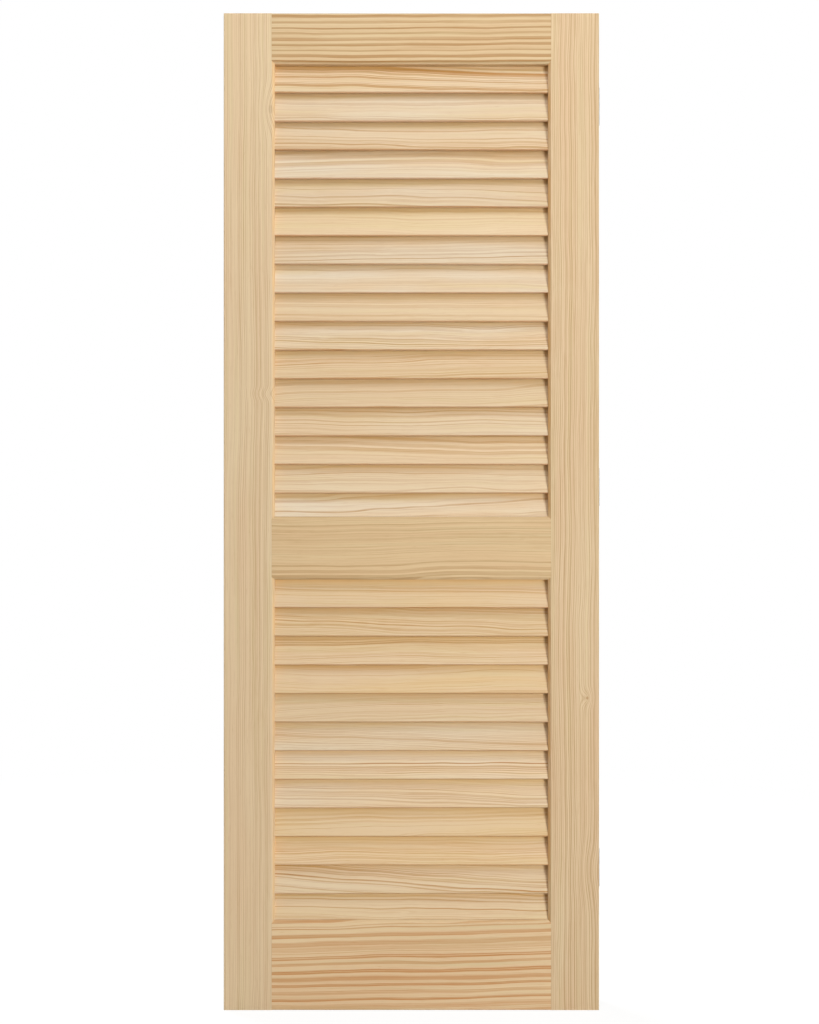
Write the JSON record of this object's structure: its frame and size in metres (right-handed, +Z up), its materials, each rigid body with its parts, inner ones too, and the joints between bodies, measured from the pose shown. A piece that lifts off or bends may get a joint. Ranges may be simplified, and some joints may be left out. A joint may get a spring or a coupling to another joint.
{
  "type": "louvred bifold closet door",
  "caption": "Bare pine louvred bifold closet door: two hinged leaves of fixed slanted slats, shown folded back to back, with pivot bushes for hanging.",
  "frame": {"origin": "mouth of the front leaf's bottom pivot bush, on the pivot axis at the leaf's bottom edge", "axes": "+X from the pivot edge to the hinge edge, -Y out of the front face, +Z up"},
  "size_m": [0.7612, 0.079, 2.0066],
  "materials": {
    "pine": "bare sanded pine",
    "beech": "smooth dowel rod",
    "hinge_steel": "zinc-plated pressed steel",
    "nylon": "moulded natural nylon"
  },
  "bodies": {
    "front_leaf": {"bottom_hinge_front_wing": "hinge_steel", "bottom_hinge_pin": "hinge_steel", "front_bottom_bush": "nylon", "front_bottom_rail": "pine", "front_dowels": "beech", "front_hinge_screws": "hinge_steel", "front_hinge_stile": "pine", "front_lock_rail": "pine", "front_lower_slat_01": "pine", "front_lower_slat_02": "pine", "front_lower_slat_03": "pine", "front_lower_slat_04": "pine", "front_lower_slat_05": "pine", "front_lower_slat_06": "pine", "front_lower_slat_07": "pine", "front_lower_slat_08": "pine", "front_lower_slat_09": "pine", "front_lower_slat_10": "pine", "front_lower_slat_11": "pine", "front_lower_slat_12": "pine", "front_pivot_stile": "pine", "front_top_bush": "nylon", "front_top_rail": "pine", "front_upper_slat_01": "pine", "front_upper_slat_02": "pine", "front_upper_slat_03": "pine", "front_upper_slat_04": "pine", "front_upper_slat_05": "pine", "front_upper_slat_06": "pine", "front_upper_slat_07": "pine", "front_upper_slat_08": "pine", "front_upper_slat_09": "pine", "front_upper_slat_10": "pine", "front_upper_slat_11": "pine", "front_upper_slat_12": "pine", "front_upper_slat_13": "pine", "front_upper_slat_14": "pine", "front_upper_slat_15": "pine", "front_upper_slat_16": "pine", "middle_hinge_front_wing": "hinge_steel", "middle_hinge_pin": "hinge_steel", "top_hinge_front_wing": "hinge_steel", "top_hinge_pin": "hinge_steel"},
    "rear_leaf": {"bottom_hinge_rear_wing": "hinge_steel", "middle_hinge_rear_wing": "hinge_steel", "rear_bottom_bush": "nylon", "rear_bottom_rail": "pine", "rear_dowels": "beech", "rear_hinge_screws": "hinge_steel", "rear_hinge_stile": "pine", "rear_lock_rail": "pine", "rear_lower_slats": "pine", "rear_pivot_stile": "pine", "rear_top_bush": "nylon", "rear_top_rail": "pine", "rear_upper_slats": "pine", "top_hinge_rear_wing": "hinge_steel"}
  },
  "joints": [
    {"name": "leaf_fold", "type": "hinge", "parent": "front_leaf", "child": "rear_leaf", "pos_m": [0.71925, 0.022, 0], "axis": [0, 0, -1], "range_deg": [0, 180]}
  ]
}
